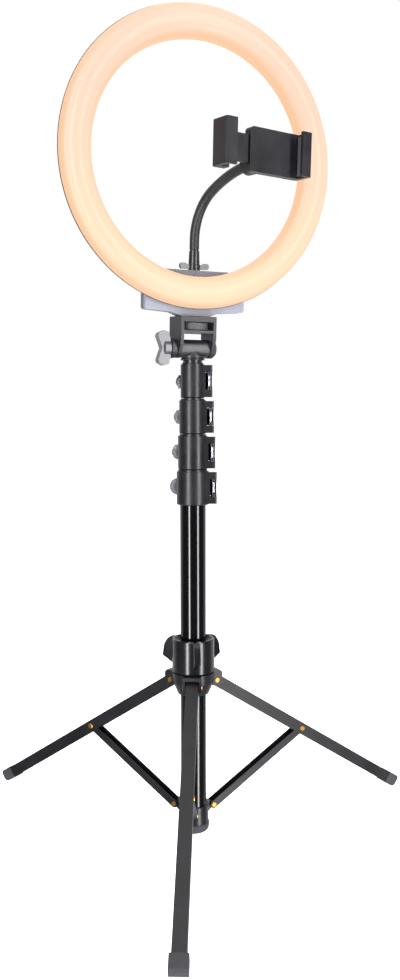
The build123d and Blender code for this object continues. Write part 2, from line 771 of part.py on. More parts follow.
def make_ring():
    """Rear shell, LED board and crowned diffuser, all turned about the ring's axis."""
    axis = Axis((0, 0, TILT_AXIS_Z + RING_HEIGHT), (0, 1, 0))
    lip = RING_BACK - SHELL_DEPTH
    crown = lip - DIFFUSER_DEPTH
    middle = (RING_OUTER + RING_INNER) / 2
    with BuildPart() as shell:
        with BuildSketch(ring_section()):
            with BuildLine():
                Polyline(
                    (RING_INNER + 1.6, lip),
                    (RING_INNER + 1.6, RING_BACK),
                    (RING_OUTER - 1.6, RING_BACK),
                    (RING_OUTER - 0.8, RING_BACK - 0.8),
                    (RING_OUTER, lip),
                    (RING_OUTER - 1.5, lip),
                    (RING_OUTER - 2.3, RING_BACK - 1.6),
                    (RING_INNER + 3.1, RING_BACK - 1.6),
                    (RING_INNER + 3.1, lip),
                    close=True,
                )
            make_face()
        revolve(axis=axis)
    write(tilted(shell.part), "ring_shell")
    with BuildPart() as diffuser:
        with BuildSketch(ring_section()):
            with BuildLine():
                outer_wall = ThreePointArc(
                    (RING_OUTER - 0.5, lip - 0.3),
                    (RING_OUTER - 2.2, lip - 6.2),
                    (RING_OUTER - 7.2, lip - 10.2),
                )
                front = ThreePointArc(
                    outer_wall @ 1,
                    (middle, crown),
                    (RING_INNER + 7.2, lip - 10.2),
                )
                inner_wall = ThreePointArc(
                    front @ 1,
                    (RING_INNER + 2.2, lip - 6.2),
                    (RING_INNER + 0.5, lip - 0.3),
                )
                back = ThreePointArc(
                    (RING_INNER + 2.1, lip - 0.3),
                    (middle, crown + 1.7),
                    (RING_OUTER - 2.1, lip - 0.3),
                )
                Polyline(
                    inner_wall @ 1,
                    (RING_INNER + 0.3, RING_BACK - 0.6),
                    (RING_INNER + 1.4, RING_BACK - 0.6),
                    (RING_INNER + 1.4, lip - 0.3),
                    back @ 0,
                )
                Line(back @ 1, outer_wall @ 0)
            make_face()
        revolve(axis=axis)
    write(tilted(diffuser.part), "diffuser")
    with BuildPart() as board:
        with BuildSketch(ring_plane(RING_BACK - 1.8)):
            Circle(RING_OUTER - 3)
            Circle(RING_INNER + 3.4, mode=Mode.SUBTRACT)
        extrude(amount=1.2)
        with BuildSketch(ring_plane(RING_BACK - 3.0)):
            with PolarLocations(middle + 5, 40):
                Rectangle(3.0, 3.6)
            with PolarLocations(middle - 5, 40):
                Rectangle(3.0, 3.6)
        extrude(amount=0.8)
    write(tilted(board.part), "led_board")


def housing_outline(low_inset, top):
    """Front outline of the housing: level foot, shoulders that rise a little, round corners."""
    half = HOUSING_WIDTH / 2 - low_inset
    base = TILT_AXIS_Z + HOUSING_LOW
    with BuildSketch(Plane.XZ, mode=Mode.PRIVATE) as outline:
        with BuildLine():
            Polyline(
                (-13.2 + low_inset, TILT_AXIS_Z + PLATFORM_TOP + 0.02),
                (13.2 - low_inset, TILT_AXIS_Z + PLATFORM_TOP + 0.02),
                (22.0 - low_inset, base + low_inset),
                (half, base + 1.8 + low_inset),
                (half, top - 6),
                (half - 12, top),
                (-half + 12, top),
                (-half, top - 6),
                (-half, base + 1.8 + low_inset),
                (-22.0 + low_inset, base + low_inset),
                close=True,
            )
        make_face()
        fillet(outline.vertices().group_by(Axis.X)[0], 2.4)
        fillet(outline.vertices().group_by(Axis.X)[-1], 2.4)
    return outline.sketch


def make_housing():
    """Light front plate, dark back cover with a shadow groove, and the power inlet."""
    top = TILT_AXIS_Z + HOUSING_HIGH
    front_top = top - 11.0
    with BuildPart() as front:
        with BuildSketch(Plane.XZ.offset(0)):
            add(housing_outline(0, front_top))
        extrude(amount=-RING_BACK)
        with BuildSketch(Plane.XY.offset(TILT_AXIS_Z + PLATFORM_TOP - 1)):
            Circle(STUD_RADIUS + RUNNING_FIT)
        extrude(amount=8.5, mode=Mode.SUBTRACT)
    write(tilted(front.part), "housing_front")
    with BuildPart() as back:
        with BuildSketch(Plane.XZ.offset(0)):
            add(housing_outline(1.6, top))
        extrude(amount=-1.6)
        with BuildSketch(Plane.XZ.offset(-1.6)):
            add(housing_outline(0, top))
        extrude(amount=-5.8)
        chamfer(back.faces().sort_by(Axis.Y)[-1].edges(), 0.9)
        with BuildSketch(Plane.XZ):
            with Locations((0, top - 5.4)):
                Rectangle(64, 10.8)
        extrude(amount=-RING_BACK - 0.2)
        with BuildSketch(Plane.XY.offset(TILT_AXIS_Z + PLATFORM_TOP - 1)):
            Circle(STUD_RADIUS + RUNNING_FIT)
        extrude(amount=8.5, mode=Mode.SUBTRACT)
        with BuildSketch(Plane.XZ.offset(-8)):
            with Locations((30, TILT_AXIS_Z + 48)):
                SlotOverall(9.4, 3.9)
        extrude(amount=5, mode=Mode.SUBTRACT)
    write(tilted(back.part), "housing_back")
    with BuildPart() as socket:
        with BuildSketch(Plane.XZ.offset(-7.6)):
            with Locations((30, TILT_AXIS_Z + 48)):
                SlotOverall(9.4, 3.9)
        extrude(amount=4.6)
        with BuildSketch(Plane.XZ.offset(-7.6)):
            with Locations((30, TILT_AXIS_Z + 48)):
                SlotOverall(8.4, 2.9)
                SlotOverall(6.6, 0.9, mode=Mode.SUBTRACT)
        extrude(amount=3.8, mode=Mode.SUBTRACT)
    write(tilted(socket.part), "power_socket")


# ------------------------------------------------------------------ phone holder
NECK_FOOT = TILT_AXIS_Z + HOUSING_HIGH


def make_neck_base():
    """Threaded boss on the housing, its wing nut and the base sleeve of the flexible arm."""
    with BuildPart() as boss:
        with BuildSketch(Plane.XY.offset(NECK_FOOT)):
            Circle(5.4)
        extrude(amount=1.2)
        with BuildSketch(Plane.XY.offset(NECK_FOOT + 1.2)):
            Circle(2.6)
        extrude(amount=10)
    write(tilted(boss.part), "neck_base")
    with BuildPart() as nut:
        with BuildSketch(Plane.XY.offset(NECK_FOOT + 1.5)):
            Circle(5.4)
        extrude(amount=3.6)
        with BuildSketch(Plane.XZ):
            for side in (-1, 1):
                with BuildLine():
                    Polyline(
                        (side * 4.0, NECK_FOOT + 1.5),
                        (side * 12.6, NECK_FOOT + 1.5),
                        (side * 13.8, NECK_FOOT + 2.9),
                        (side * 13.8, NECK_FOOT + 5.4),
                        (side * 12.6, NECK_FOOT + 6.6),
                        (side * 9.0, NECK_FOOT + 6.6),
                        (side * 4.0, NECK_FOOT + 4.2),
                        close=True,
                    )
                make_face()
        extrude(amount=1.5, both=True)
        with BuildSketch(Plane.XY.offset(NECK_FOOT)):
            Circle(2.66)
        extrude(amount=20, mode=Mode.SUBTRACT)
    write(tilted(nut.part), "neck_wing_nut")
    with BuildPart() as sleeve:
        with BuildSketch(Plane.XY.offset(NECK_FOOT + 5.4)):
            Circle(5.0)
        extrude(amount=NECK_SOCKET - 5.4, taper=2.2)
        with Locations((0, 0, NECK_FOOT + NECK_SOCKET)):
            Sphere(CUP_RADIUS - CUP_GAP)
        with BuildSketch(Plane.XY.offset(NECK_FOOT + 5.4)):
            Circle(2.66)
        extrude(amount=6.2, mode=Mode.SUBTRACT)
    write(tilted(sleeve.part), "neck_sleeve")


def neck_length():
    return NECK_RISE + sum(radius * radians(angle) for radius, angle in NECK_BENDS)


def neck_point(distance):
    """Place and direction on the arm's centre line, at a distance along it from its foot."""
    turn = radians(NECK_AZIMUTH)
    outward = Vector(cos(turn), sin(turn), 0)
    up = Vector(0, 0, 1)
    left = distance - NECK_RISE
    point = Vector(0, 0, NECK_FOOT) + up * min(distance, NECK_RISE)
    lean = 0.0
    for radius, angle in NECK_BENDS:
        swept = min(max(left, 0.0), radius * radians(angle)) / radius
        point += outward * (radius * (cos(lean) - cos(lean + swept)))
        point += up * (radius * (sin(lean + swept) - sin(lean)))
        lean += swept
        left -= radius * radians(angle)
    return point, outward * sin(lean) + up * cos(lean)


def make_neck_link(start, end, last):
    """One length of the flexible arm: a cup at its root and a ball at its tip."""
    root, root_direction = neck_point(start)
    tip, tip_direction = neck_point(end)
    ball = BALL_RADIUS if last else CUP_RADIUS - CUP_GAP
    body_end = end - 7.6 if last else end
    stop, stop_direction = neck_point(body_end)
    begin, begin_direction = neck_point(start + 1.8)
    centre, _ = neck_point((start + 1.8 + body_end) / 2)
    side = Vector(0, 0, 1).cross(root_direction + tip_direction * 3).normalized()
    with BuildPart() as link:
        with BuildLine():
            turned = begin_direction.get_angle(stop_direction) > 1
            path = ThreePointArc(begin, centre, stop) if turned else Line(begin, stop)
        with BuildSketch(Plane(origin=begin, x_dir=side, z_dir=begin_direction)):
            Circle(NECK_RADIUS)
        sweep(path=path)
        if last:
            with BuildSketch(Plane(origin=stop, x_dir=side, z_dir=tip_direction)):
                Circle(2.6)
            extrude(amount=7.6)
        with Locations(tip):
            Sphere(ball)
        with Locations(root):
            Sphere(CUP_RADIUS, mode=Mode.SUBTRACT)
    return link.part


def make_neck():
    """Three links of the flexible arm, from the sleeve to the ball."""
    start = NECK_SOCKET
    step = (neck_length() - start) / NECK_LINKS
    for number in range(NECK_LINKS):
        begin = start + number * step
        link = make_neck_link(begin, begin + step, number == NECK_LINKS - 1)
        write(tilted(link), f"gooseneck_{number + 1}")


def holder_place():
    """Frame of the phone holder: its origin is the ball centre, -Y is its front."""
    tip, _ = neck_point(neck_length())
    return Location(tip, (0, 0, HOLDER_TURN))


def in_holder(piece):
    """Carry a piece drawn about the ball centre to its place on the tilted head."""
    return tilted(holder_place() * piece)


def make_holder():
    """Ball nut, holder back with the fixed jaw, sliding jaw and the two rubber pads."""
    jaw_in = PHONE_HALF_WIDTH + PAD
    jaw_out = jaw_in + JAW_WALL
    lip = PHONE_FRONT - PAD
    with BuildPart() as nut:
        with BuildSketch(Plane.XZ.offset(-0.2)):
            Circle(8.6)
        extrude(amount=-5.6)
        chamfer(nut.edges().filter_by(GeomType.CIRCLE).sort_by(Axis.Y)[-1], 1.6)
        with BuildSketch(Plane.XZ.offset(-0.2)):
            Circle(4.3)
        extrude(amount=-8, mode=Mode.SUBTRACT)
        Sphere(BALL_RADIUS + RUNNING_FIT, mode=Mode.SUBTRACT)
    write(in_holder(nut.part), "ball_nut")
    with BuildPart() as body:
        with BuildSketch(Plane.XZ.offset(0.2)):
            Circle(8.6)
        extrude(amount=5.2)
        with BuildSketch(Plane.XZ.offset(5.2)):
            with Locations((14, HOLDER_RAISE)):
                RectangleRounded(49.8, 35, 4)
        extrude(amount=7.2)
        with BuildSketch(Plane.XY.offset(HOLDER_RAISE - JAW_HALF_HEIGHT)):
            with BuildLine():
                Polyline(
                    (30, -5.2),
                    (jaw_out - 2, -5.2),
                    (jaw_out, -7.2),
                    (jaw_out, lip - 1.2),
                    (jaw_out - 1.6, lip - 2.6),
                    (jaw_in - 6.4, lip - 2.6),
                    (jaw_in - 6.4, lip),
                    (jaw_in, lip),
                    (jaw_in, PHONE_BACK),
                    (30, PHONE_BACK),
                    close=True,
                )
            make_face()
        extrude(amount=2 * JAW_HALF_HEIGHT)
        Sphere(BALL_RADIUS + RUNNING_FIT, mode=Mode.SUBTRACT)
        with BuildSketch(Plane.YZ.offset(-32)):
            with Locations((-8.8, HOLDER_RAISE)):
                Rectangle(3.4, 22.4)
        extrude(amount=66, mode=Mode.SUBTRACT)
    write(in_holder(body.part), "clamp_body")
    with BuildPart() as jaw:
        with BuildSketch(Plane.XY.offset(HOLDER_RAISE - JAW_HALF_HEIGHT)):
            with BuildLine():
                Polyline(
                    (-31.5, -5.2),
                    (-jaw_out + 2, -5.2),
                    (-jaw_out, -7.2),
                    (-jaw_out, lip - 1.2),
                    (-jaw_out + 1.6, lip - 2.6),
                    (-jaw_in + 6.4, lip - 2.6),
                    (-jaw_in + 6.4, lip),
                    (-jaw_in, lip),
                    (-jaw_in, PHONE_BACK),
                    (-31.5, PHONE_BACK),
                    close=True,
                )
            make_face()
        extrude(amount=2 * JAW_HALF_HEIGHT)
        with BuildSketch(Plane.YZ.offset(-34)):
            with Locations((-8.8, HOLDER_RAISE)):
                Rectangle(3.0, 22)
        extrude(amount=46)
    write(in_holder(jaw.part), "clamp_jaw")
    for side, name in ((1, "jaw_pad_fixed"), (-1, "jaw_pad_moving")):
        with BuildPart() as pad:
            with BuildSketch(Plane.XY.offset(HOLDER_RAISE - JAW_HALF_HEIGHT + 2)):
                with BuildLine():
                    Polyline(
                        (side * jaw_in, PHONE_BACK - 0.5),
                        (side * jaw_in, lip),
                        (side * (jaw_in - 5.6), lip),
                        (side * (jaw_in - 5.6), lip + PAD),
                        (side * (jaw_in - PAD), lip + PAD),
                        (side * (jaw_in - PAD), PHONE_BACK - 0.5),
                        close=True,
                    )
                make_face()
            extrude(amount=2 * JAW_HALF_HEIGHT - 4)
        write(in_holder(pad.part), name)


make_tubes()
make_locks()
make_end_cap()
make_brace_collar()
make_hub()
make_hub_knob()
make_legs()
make_spigot()
make_barrel()
make_yoke()
make_tilt_knob()
make_thumbwheel()
make_ring()
make_housing()
make_neck_base()
make_neck()
make_holder()
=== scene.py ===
"""Ring light on a telescopic floor tripod: finishes and finely shaped pieces over the CAD frame."""
import logging
import math
from dataclasses import dataclass
from enum import Enum

import bmesh
import bpy
from mathutils import Matrix, Vector


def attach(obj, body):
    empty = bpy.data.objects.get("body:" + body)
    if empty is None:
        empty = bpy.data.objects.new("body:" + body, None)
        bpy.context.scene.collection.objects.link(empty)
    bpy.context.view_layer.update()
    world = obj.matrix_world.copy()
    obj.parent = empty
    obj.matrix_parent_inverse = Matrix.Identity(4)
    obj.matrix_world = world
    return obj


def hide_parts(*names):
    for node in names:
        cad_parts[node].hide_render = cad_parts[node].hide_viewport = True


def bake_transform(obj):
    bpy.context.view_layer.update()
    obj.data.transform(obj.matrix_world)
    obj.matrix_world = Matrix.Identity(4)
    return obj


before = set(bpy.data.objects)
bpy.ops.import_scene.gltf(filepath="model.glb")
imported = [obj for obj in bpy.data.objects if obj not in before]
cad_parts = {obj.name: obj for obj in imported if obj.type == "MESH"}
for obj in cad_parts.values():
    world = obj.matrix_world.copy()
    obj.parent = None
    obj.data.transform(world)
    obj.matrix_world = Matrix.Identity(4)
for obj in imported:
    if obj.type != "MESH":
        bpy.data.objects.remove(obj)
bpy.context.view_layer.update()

MM = 0.001
LOG = logging.getLogger("ring_light")


# ---------------------------------------------------------------- small helpers
def linear(code: str) -> tuple[float, float, float, float]:
    """Turn an sRGB hex colour into linear RGBA.

    Args:
        code: colour such as "#1c1c1e".

    Returns:
        Four linear values, the last one full opacity.
    """
    values = [int(code[place:place + 2], 16) / 255 for place in (1, 3, 5)]
    bent = [v / 12.92 if v <= 0.04045 else ((v + 0.055) / 1.055) ** 2.4 for v in values]
    return (bent[0], bent[1], bent[2], 1.0)


def add_node(
    tree: bpy.types.NodeTree,
    kind: str,
    values: dict | None = None,
    links: dict | None = None,
    **settings: object,
) -> bpy.types.Node:
    """Add one shader node with its settings, socket values and incoming links.

    Args:
        tree: the material's node tree.
        kind: the node's type name.
        values: input socket name or number to value.
        links: input socket name or number to the output socket that feeds it.
        settings: the node's own properties.

    Returns:
        The new node.
    """
    made = tree.nodes.new(kind)
    for name, value in settings.items():
        setattr(made, name, value)
    for name, value in (values or {}).items():
        made.inputs[name].default_value = value
    for name, socket in (links or {}).items():
        tree.links.new(socket, made.inputs[name])
    return made


def new_surface(name: str) -> tuple[bpy.types.Material, bpy.types.NodeTree, bpy.types.Node]:
    """Start a material.

    Args:
        name: the material's name.

    Returns:
        The material, its tree and its output node.
    """
    material = bpy.data.materials.new(name)
    material.use_nodes = True
    tree = material.node_tree
    tree.nodes.clear()
    return material, tree, add_node(tree, "ShaderNodeOutputMaterial")


def deselect() -> None:
    """Leave nothing selected, so that an operator acts only on what is meant."""
    if bpy.context.object and bpy.context.object.mode != "OBJECT":
        bpy.ops.object.mode_set(mode="OBJECT")
    bpy.ops.object.select_all(action="DESELECT")


def activate(piece: bpy.types.Object) -> None:
    """Make one piece the only selected and active one."""
    deselect()
    piece.select_set(True)
    bpy.context.view_layer.objects.active = piece


def settle(piece: bpy.types.Object, place: Matrix | None = None) -> bpy.types.Object:
    """Bake a piece's place into its mesh, so that its object sits at the origin, unturned.

    Args:
        piece: the mesh object.
        place: a further placing, such as the lean of the head.

    Returns:
        The same piece.
    """
    full = (place or Matrix.Identity(4)) @ piece.matrix_basis
    piece.data.transform(full)
    if full.determinant() < 0:
        piece.data.flip_normals()
    piece.matrix_basis = Matrix.Identity(4)
    return piece


def smooth(piece: bpy.types.Object, angle: float = 35.0) -> None:
    """Shade smooth, with faces that meet at more than an angle in degrees kept crisp."""
    activate(piece)
    bpy.ops.object.shade_smooth_by_angle(angle=math.radians(angle))


def join(pieces: list[bpy.types.Object], name: str) -> bpy.types.Object:
    """Join several mesh objects into one named piece."""
    activate(pieces[0])
    for piece in pieces:
        piece.select_set(True)
    if len(pieces) > 1:
        bpy.ops.object.join()
    joined = bpy.context.object
    joined.name = name
    joined.data.name = name
    return joined


def finish_piece(
    piece: bpy.types.Object,
    name: str,
    body: str | None,
    material: bpy.types.Material,
    replaced: tuple[str, ...] = (),
) -> bpy.types.Object:
    """Name a finished piece, give it its finish and tell the frame what it rides on.

    Args:
        piece: the mesh object, already in place.
        name: its final name.
        body: the body it rides on, or None to leave it unattached.
        material: its finish.
        replaced: the CAD nodes that it stands for.

    Returns:
        The same piece.
    """
    piece.name = name
    piece.data.name = name
    piece.data.materials.clear()
    piece.data.materials.append(material)
    if body:
        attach(piece, body)
    if replaced:
        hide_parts(*replaced)
    LOG.info("%s: %d faces", name, len(piece.data.polygons))
    return piece


def turned_piece(
    centre: Vector, axis: Vector, radius: float, length: float, sides: int, edge: float,
) -> bpy.types.Object:
    """Start a turned or hexagonal part and break its rim edges.

    Args:
        centre: its middle.
        axis: direction of its length.
        radius: its radius, to the corners.
        length: its full length.
        sides: number of flats round it.
        edge: width of the broken edges.

    Returns:
        The mesh object, settled in place.
    """
    deselect()
    bpy.ops.mesh.primitive_cylinder_add(vertices=sides, radius=radius, depth=length)
    made = bpy.context.object
    turn = axis.to_track_quat("Z", "Y").to_matrix().to_4x4()
    made.matrix_basis = Matrix.Translation(centre) @ turn
    settle(made)
    bpy.ops.object.mode_set(mode="EDIT")
    bpy.ops.mesh.select_all(action="DESELECT")
    bpy.ops.mesh.select_mode(type="FACE")
    mesh = bmesh.from_edit_mesh(made.data)
    for face in mesh.faces:
        face.select = abs(face.normal.dot(axis.normalized())) > 0.9
    bmesh.update_edit_mesh(made.data)
    bpy.ops.mesh.region_to_loop()
    bpy.ops.mesh.bevel(offset=edge, segments=2)
    bpy.ops.object.mode_set(mode="OBJECT")
    return made


def crown(piece: bpy.types.Object, axis: Vector, steps: list[tuple[float, float]]) -> None:
    """Raise or sink a turned part's end face in rings.

    Args:
        piece: the mesh object.
        axis: outward direction of the end.
        steps: for each ring, its size against the ring before, and its rise.
    """
    activate(piece)
    bpy.ops.object.mode_set(mode="EDIT")
    bpy.ops.mesh.select_mode(type="FACE")
    bpy.ops.mesh.select_all(action="DESELECT")
    mesh = bmesh.from_edit_mesh(piece.data)
    ends = [face for face in mesh.faces if face.normal.dot(axis) > 0.99]
    flat = max(ends, key=lambda face: face.calc_area())
    middle = flat.calc_center_median()
    flat.select = True
    bmesh.update_edit_mesh(piece.data)
    for size, rise in steps:
        bpy.ops.mesh.extrude_region_move(TRANSFORM_OT_translate={"value": tuple(axis * rise)})
        middle = middle + axis * rise
        bpy.ops.transform.resize(value=(size, size, size), center_override=tuple(middle))
    bpy.ops.object.mode_set(mode="OBJECT")


def sleeve_along(points: list[Vector], radii: list[float], name: str) -> bpy.types.Object:
    """Draw a round sleeve along a line of points.

    Args:
        points: the centre line.
        radii: the sleeve's radius at each point.
        name: the piece's name.

    Returns:
        The mesh object.
    """
    deselect()
    line = bpy.data.curves.new(name, "CURVE")
    line.dimensions = "3D"
    spline = line.splines.new("POLY")
    spline.points.add(len(points) - 1)
    for entry, place, radius in zip(spline.points, points, radii):
        entry.co = (*place, 1.0)
        entry.radius = radius / MM
    line.bevel_depth = 1.0 * MM
    line.bevel_resolution = 10
    line.use_fill_caps = True
    piece = bpy.data.objects.new(name, line)
    bpy.context.scene.collection.objects.link(piece)
    activate(piece)
    bpy.ops.object.convert(target="MESH")
    piece = bpy.context.object
    smooth(piece, 40.0)
    return piece


# ---------------------------------------------------------------- finishes
class Grain(Enum):
    """How the skin of a moulded or coated surface is broken up."""

    SPARK = "spark-eroded mould texture"
    ORANGE_PEEL = "sprayed paint that levelled almost flat"
    POWDER = "stippled powder coat"
    CALENDERED = "soft rubber skin"


@dataclass(frozen=True)
class Coating:
    """A dielectric surface: moulded plastic, rubber, enamel or powder coat."""

    name: str
    colour: str
    second: str
    roughness: float
    grain: Grain = Grain.SPARK
    grain_mm: float = 0.8
    grain_depth: float = 0.12
    sheen: float = 0.0
    coat: float = 0.0
    ior: float = 1.5
    streaks: bool = False
    relief_mm: float = 0.12

    def build(self) -> bpy.types.Material:
        """Build the material.

        Returns:
            A principled surface with a mottled colour, uneven gloss and a fine grain.
        """
        material, tree, output = new_surface(self.name)
        where = add_node(tree, "ShaderNodeTexCoord").outputs["Object"]
        stretch = (1.0, 1.0, 0.06) if self.streaks else (1.0, 1.0, 1.0)
        place = add_node(tree, "ShaderNodeMapping", {"Scale": stretch}, {"Vector": where})
        cloud = add_node(
            tree, "ShaderNodeTexNoise", {"Scale": 38.0, "Detail": 5.0, "Roughness": 0.6},
            {"Vector": place.outputs["Vector"]},
        )
        spread = add_node(
            tree, "ShaderNodeMapRange",
            {"From Min": 0.32, "From Max": 0.68, "To Min": 0.0, "To Max": 1.0},
            {"Value": cloud.outputs["Fac"]},
        )
        tint = add_node(
            tree, "ShaderNodeMix", {6: linear(self.colour), 7: linear(self.second)},
            {0: spread.outputs["Result"]}, data_type="RGBA",
        )
        gloss = add_node(
            tree, "ShaderNodeMapRange",
            {"From Min": 0.3, "From Max": 0.7, "To Min": self.roughness * 0.86,
             "To Max": min(1.0, self.roughness * 1.16)},
            {"Value": cloud.outputs["Fac"]},
        )
        fine = self.grain_texture(tree, where)
        relief = add_node(
            tree, "ShaderNodeBump",
            {"Strength": self.grain_depth, "Distance": self.relief_mm * MM},
            {"Height": fine},
        )
        surface = add_node(
            tree, "ShaderNodeBsdfPrincipled",
            {"IOR": self.ior, "Sheen Weight": self.sheen, "Coat Weight": self.coat,
             "Coat Roughness": 0.08, "Sheen Roughness": 0.4},
            {"Base Color": tint.outputs[2], "Roughness": gloss.outputs["Result"],
             "Normal": relief.outputs["Normal"]},
        )
        tree.links.new(surface.outputs["BSDF"], output.inputs["Surface"])
        return material

    def grain_texture(
        self, tree: bpy.types.NodeTree, where: bpy.types.NodeSocket,
    ) -> bpy.types.NodeSocket:
        """Add the fine height pattern.

        Args:
            tree: the material's node tree.
            where: the coordinates to read.

        Returns:
            The socket that gives the height.
        """
        scale = 1.0 / (self.grain_mm * MM)
        if self.grain is Grain.POWDER:
            cells = add_node(
                tree, "ShaderNodeTexVoronoi", {"Scale": scale}, {"Vector": where},
                feature="SMOOTH_F1",
            )
            return cells.outputs["Distance"]
        detail = {Grain.SPARK: 4.0, Grain.ORANGE_PEEL: 1.0, Grain.CALENDERED: 2.0}[self.grain]
        noise = add_node(
            tree, "ShaderNodeTexNoise", {"Scale": scale, "Detail": detail}, {"Vector": where},
        )
        return noise.outputs["Fac"]


@dataclass(frozen=True)
class Metal:
    """A bare metal: turned brass or plated steel."""

    name: str
    colour: str
    second: str
    roughness: float
    scratch_mm: float = 0.5

    def build(self) -> bpy.types.Material:
        """Build the material.

        Returns:
            A metal with fine tool marks, so that its highlight breaks up.
        """
        material, tree, output = new_surface(self.name)
        where = add_node(tree, "ShaderNodeTexCoord").outputs["Object"]
        place = add_node(tree, "ShaderNodeMapping", {"Scale": (1.0, 1.0, 0.2)}, {"Vector": where})
        marks = add_node(
            tree, "ShaderNodeTexNoise", {"Scale": 1.0 / (self.scratch_mm * MM), "Detail": 6.0},
            {"Vector": place.outputs["Vector"]},
        )
        stain = add_node(
            tree, "ShaderNodeTexNoise", {"Scale": 260.0, "Detail": 3.0}, {"Vector": where},
        )
        tint = add_node(
            tree, "ShaderNodeMix", {6: linear(self.colour), 7: linear(self.second)},
            {0: stain.outputs["Fac"]}, data_type="RGBA",
        )
        gloss = add_node(
            tree, "ShaderNodeMapRange",
            {"From Min": 0.3, "From Max": 0.7, "To Min": self.roughness * 0.8,
             "To Max": self.roughness * 1.3},
            {"Value": marks.outputs["Fac"]},
        )
        relief = add_node(
            tree, "ShaderNodeBump", {"Strength": 0.2, "Distance": 0.05 * MM},
            {"Height": marks.outputs["Fac"]},
        )
        surface = add_node(
            tree, "ShaderNodeBsdfPrincipled", {"Metallic": 1.0},
            {"Base Color": tint.outputs[2], "Roughness": gloss.outputs["Result"],
             "Normal": relief.outputs["Normal"]},
        )
        tree.links.new(surface.outputs["BSDF"], output.inputs["Surface"])
        return material


@dataclass(frozen=True)
class LitOpal:
    """Opal acrylic lit from inside: evenly bright, warmer towards its two rims."""

    name: str
    centre: tuple[float, float, float]
    lean: float
    top: str
    foot: str
    rim: str
    inner: float
    outer: float
    strength: float = 1.0

    def build(self) -> bpy.types.Material:
        """Build the material.

        Returns:
            A glowing surface whose colour follows the distance from the ring's axis and the height.
        """
        material, tree, output = new_surface(self.name)
        where = add_node(tree, "ShaderNodeTexCoord").outputs["Object"]
        moved = add_node(
            tree, "ShaderNodeVectorMath", {1: self.centre}, {0: where}, operation="SUBTRACT",
        )
        placed = add_node(
            tree, "ShaderNodeMapping", {"Rotation": (-self.lean, 0.0, 0.0)},
            {"Vector": moved.outputs["Vector"]},
        )
        flat = add_node(
            tree, "ShaderNodeVectorMath", {1: (1.0, 0.0, 1.0)}, {0: placed.outputs["Vector"]},
            operation="MULTIPLY",
        )
        radius = add_node(
            tree, "ShaderNodeVectorMath", None, {0: flat.outputs["Vector"]}, operation="LENGTH",
        )
        parts = add_node(tree, "ShaderNodeSeparateXYZ", None, {"Vector": placed.outputs["Vector"]})
        height = add_node(
            tree, "ShaderNodeMapRange",
            {"From Min": -self.outer, "From Max": self.outer * 0.6, "To Min": 0.0, "To Max": 1.0},
            {"Value": parts.outputs["Z"]}, interpolation_type="SMOOTHSTEP",
        )
        glow = add_node(
            tree, "ShaderNodeMix", {6: linear(self.foot), 7: linear(self.top)},
            {0: height.outputs["Result"]}, data_type="RGBA",
        )
        middle = (self.inner + self.outer) / 2
        half = (self.outer - self.inner) / 2
        off = add_node(
            tree, "ShaderNodeMath", {1: middle}, {0: radius.outputs["Value"]}, operation="SUBTRACT",
        )
        spread = add_node(
            tree, "ShaderNodeMath", None, {0: off.outputs["Value"]}, operation="ABSOLUTE",
        )
        edge = add_node(
            tree, "ShaderNodeMapRange",
            {"From Min": half * 0.5, "From Max": half * 1.02, "To Min": 0.0, "To Max": 1.0},
            {"Value": spread.outputs["Value"]}, interpolation_type="SMOOTHSTEP",
        )
        warm = add_node(
            tree, "ShaderNodeMix", {7: linear(self.rim)},
            {0: edge.outputs["Result"], 6: glow.outputs[2]}, data_type="RGBA",
        )
        surface = add_node(
            tree, "ShaderNodeBsdfPrincipled",
            {"Base Color": (0.02, 0.018, 0.015, 1.0), "Roughness": 0.4, "Specular IOR Level": 0.25,
             "Emission Strength": self.strength},
            {"Emission Color": warm.outputs[2]},
        )
        tree.links.new(surface.outputs["BSDF"], output.inputs["Surface"])
        return material


# ---------------------------------------------------------------- shared sizes
@dataclass(frozen=True)
class Layout:
    """Places shared by several sub-assemblies, in metres."""

    tilt_axis_z: float = 444.6 * MM
    head_lean: float = math.radians(2.9)
    ring_height: float = 161.4 * MM
    ring_outer: float = 127.0 * MM
    ring_inner: float = 98.5 * MM
    ring_back: float = -5.4 * MM
    arm_azimuth: float = -73.8
    arm_foot: float = 512.8 * MM
    arm_rise: float = 26.2 * MM
    arm_bends: tuple[tuple[float, float], ...] = ((46.0 * MM, 60.0), (115.0 * MM, 25.0))
    arm_socket: float = 17.2 * MM

    def head(self) -> Matrix:
        """Lean of the head about its tilt axis."""
        pivot = Matrix.Translation((0.0, 0.0, self.tilt_axis_z))
        return pivot @ Matrix.Rotation(self.head_lean, 4, "X") @ pivot.inverted()

    def arm_point(self, distance: float) -> Vector:
        """Place on the flexible arm's centre line.

        Args:
            distance: length along the line from its foot.

        Returns:
            The point, on the leaned head.
        """
        turn = math.radians(self.arm_azimuth)
        outward = Vector((math.cos(turn), math.sin(turn), 0.0))
        point = Vector((0.0, 0.0, self.arm_foot + min(distance, self.arm_rise)))
        left = distance - self.arm_rise
        lean = 0.0
        for radius, angle in self.arm_bends:
            swept = min(max(left, 0.0), radius * math.radians(angle)) / radius
            point += outward * (radius * (math.cos(lean) - math.cos(lean + swept)))
            point.z += radius * (math.sin(lean + swept) - math.sin(lean))
            lean += swept
            left -= radius * math.radians(angle)
        return self.head() @ point

    def arm_length(self) -> float:
        """Length of the arm from its foot to the ball's centre."""
        return self.arm_rise + sum(radius * math.radians(angle) for radius, angle in self.arm_bends)

    def ring_centre(self) -> Vector:
        """Centre of the ring's back face."""
        upright = Vector((0.0, self.ring_back, self.tilt_axis_z + self.ring_height))
        return self.head() @ upright


LAYOUT = Layout()


